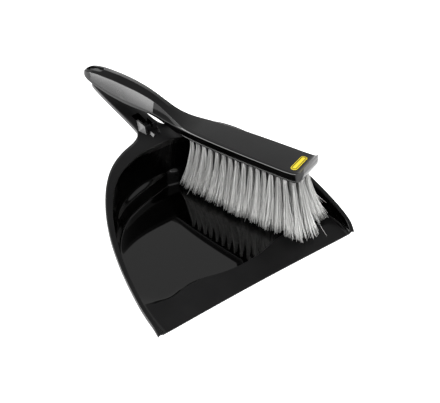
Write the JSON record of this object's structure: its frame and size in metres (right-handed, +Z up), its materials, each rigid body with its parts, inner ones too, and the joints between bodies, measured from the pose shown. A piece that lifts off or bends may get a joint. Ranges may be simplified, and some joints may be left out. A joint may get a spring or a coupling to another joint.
{
  "type": "dustpan and hand brush set",
  "caption": "Black dustpan with a deep rounded well, turned flange, collared neck and open handle, with a long-handled hand brush of splayed grey tufts lying in it; the brush lifts out.",
  "frame": {"origin": "on the flat underside of the pan, on its middle line, 80 mm behind the front lip", "axes": "+X along the lip towards the side the brush head lies on, +Y from the lip to the handles, +Z up"},
  "size_m": [0.2312, 0.2966, 0.0922],
  "materials": {
    "black_plastic": "moulded black polypropylene, mirror gloss in the well and satin on the flange, ramp and brush",
    "grey_bristle": "light grey synthetic filament",
    "yellow_badge": "plain yellow plate with no lettering"
  },
  "bodies": {
    "dustpan": {"pan_body": "black_plastic"},
    "brush": {"brush_block": "black_plastic", "badge": "yellow_badge", "tuft_a01": "grey_bristle", "tuft_a02": "grey_bristle", "tuft_a03": "grey_bristle", "tuft_a04": "grey_bristle", "tuft_a05": "grey_bristle", "tuft_a06": "grey_bristle", "tuft_a07": "grey_bristle", "tuft_a08": "grey_bristle", "tuft_a09": "grey_bristle", "tuft_a10": "grey_bristle", "tuft_a11": "grey_bristle", "tuft_a12": "grey_bristle", "tuft_a13": "grey_bristle", "tuft_a14": "grey_bristle", "tuft_a15": "grey_bristle", "tuft_a16": "grey_bristle", "tuft_b01": "grey_bristle", "tuft_b02": "grey_bristle", "tuft_b03": "grey_bristle", "tuft_b04": "grey_bristle", "tuft_b05": "grey_bristle", "tuft_b06": "grey_bristle", "tuft_b07": "grey_bristle", "tuft_b08": "grey_bristle", "tuft_b09": "grey_bristle", "tuft_b10": "grey_bristle", "tuft_b11": "grey_bristle", "tuft_b12": "grey_bristle", "tuft_c01": "grey_bristle", "tuft_c02": "grey_bristle", "tuft_c03": "grey_bristle", "tuft_c04": "grey_bristle", "tuft_c05": "grey_bristle", "tuft_c06": "grey_bristle", "tuft_c07": "grey_bristle", "tuft_c08": "grey_bristle", "tuft_c09": "grey_bristle", "tuft_c10": "grey_bristle", "tuft_c11": "grey_bristle", "tuft_c12": "grey_bristle", "tuft_d01": "grey_bristle", "tuft_d02": "grey_bristle", "tuft_d03": "grey_bristle", "tuft_d04": "grey_bristle", "tuft_d05": "grey_bristle", "tuft_d06": "grey_bristle", "tuft_d07": "grey_bristle", "tuft_d08": "grey_bristle", "tuft_d09": "grey_bristle", "tuft_d10": "grey_bristle", "tuft_d11": "grey_bristle", "tuft_d12": "grey_bristle", "tuft_d13": "grey_bristle", "tuft_d14": "grey_bristle", "tuft_d15": "grey_bristle", "tuft_d16": "grey_bristle"}
  },
  "joints": [
    {"name": "brush_lift", "type": "slide", "parent": "dustpan", "child": "brush", "axis": [0, 0, 1], "range_m": [0, 0.15]}
  ]
}
